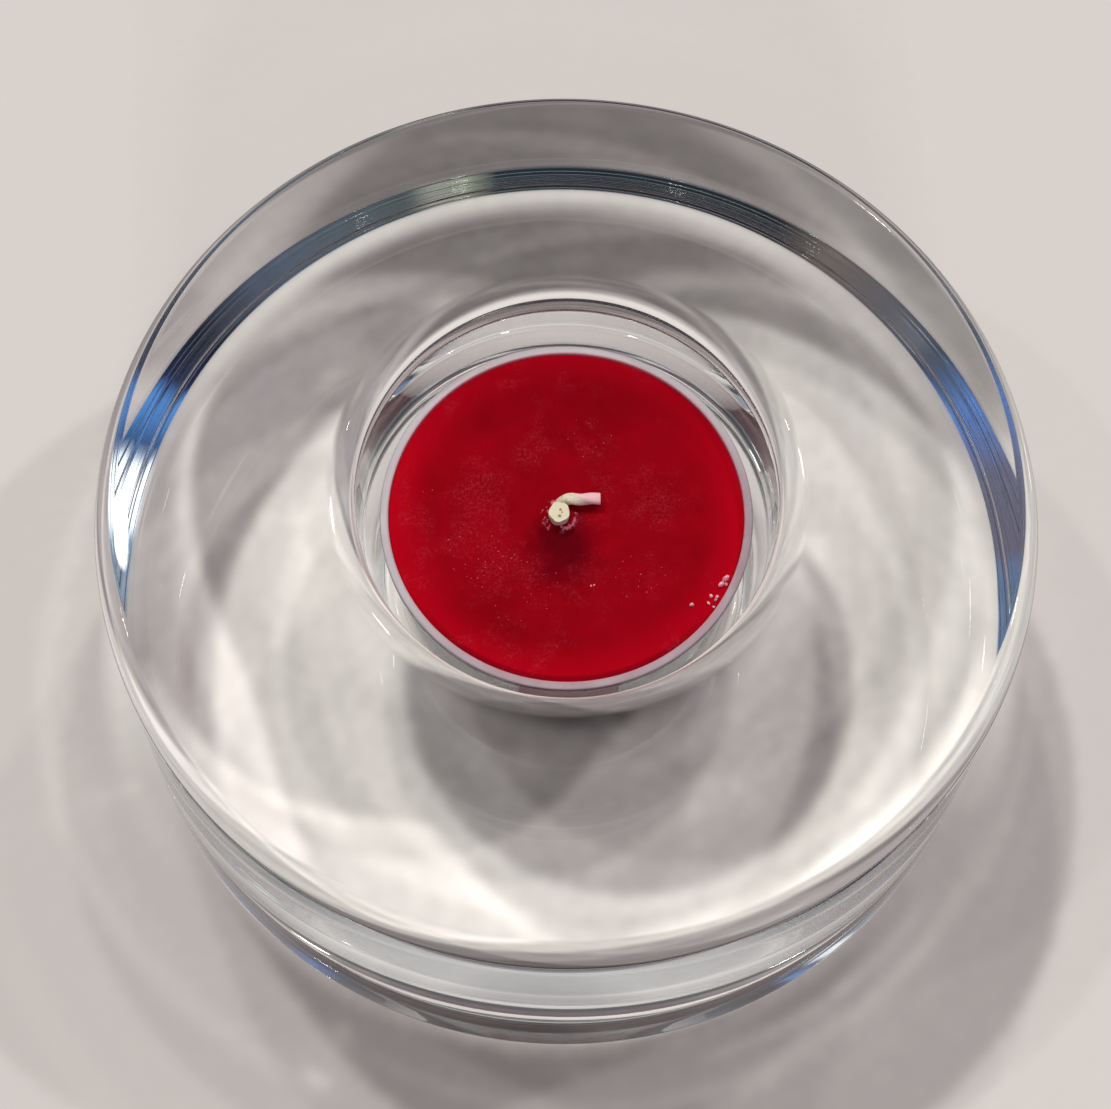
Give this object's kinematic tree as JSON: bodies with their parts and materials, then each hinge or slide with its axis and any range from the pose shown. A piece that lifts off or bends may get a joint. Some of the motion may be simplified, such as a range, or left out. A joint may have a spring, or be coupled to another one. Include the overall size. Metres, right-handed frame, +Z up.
{
  "type": "glass tealight holder",
  "caption": "Round solid glass block with a recess in its top that holds a lift-out tealight of wax, wick and clear cup.",
  "frame": {"origin": "middle of the glass block's flat underside", "axes": "+Z up along the block's axis, +Y away from the viewer of the picture, +X to the viewer's right"},
  "size_m": [0.1014, 0.1014, 0.0415],
  "materials": {
    "holder_glass": "clear polished glass, faintly warm grey, with fire-polished edges",
    "cup_plastic": "clear moulded polycarbonate, slightly milky at the rim",
    "wax": "deep red paraffin wax, satin, with pale dust specks",
    "wick_cotton": "cream primed cotton, tinged pink by wax along the bent end",
    "sustainer_steel": "stamped tinned steel sheet"
  },
  "bodies": {
    "holder": {"glass_holder": "holder_glass"},
    "tealight": {"tealight_cup": "cup_plastic", "wax_fill": "wax", "wick": "wick_cotton", "wick_sustainer": "sustainer_steel"}
  },
  "joints": [
    {"name": "tealight_lift", "type": "slide", "parent": "holder", "child": "tealight", "axis": [0, 0, 1], "range_m": [0, 0.03]}
  ]
}
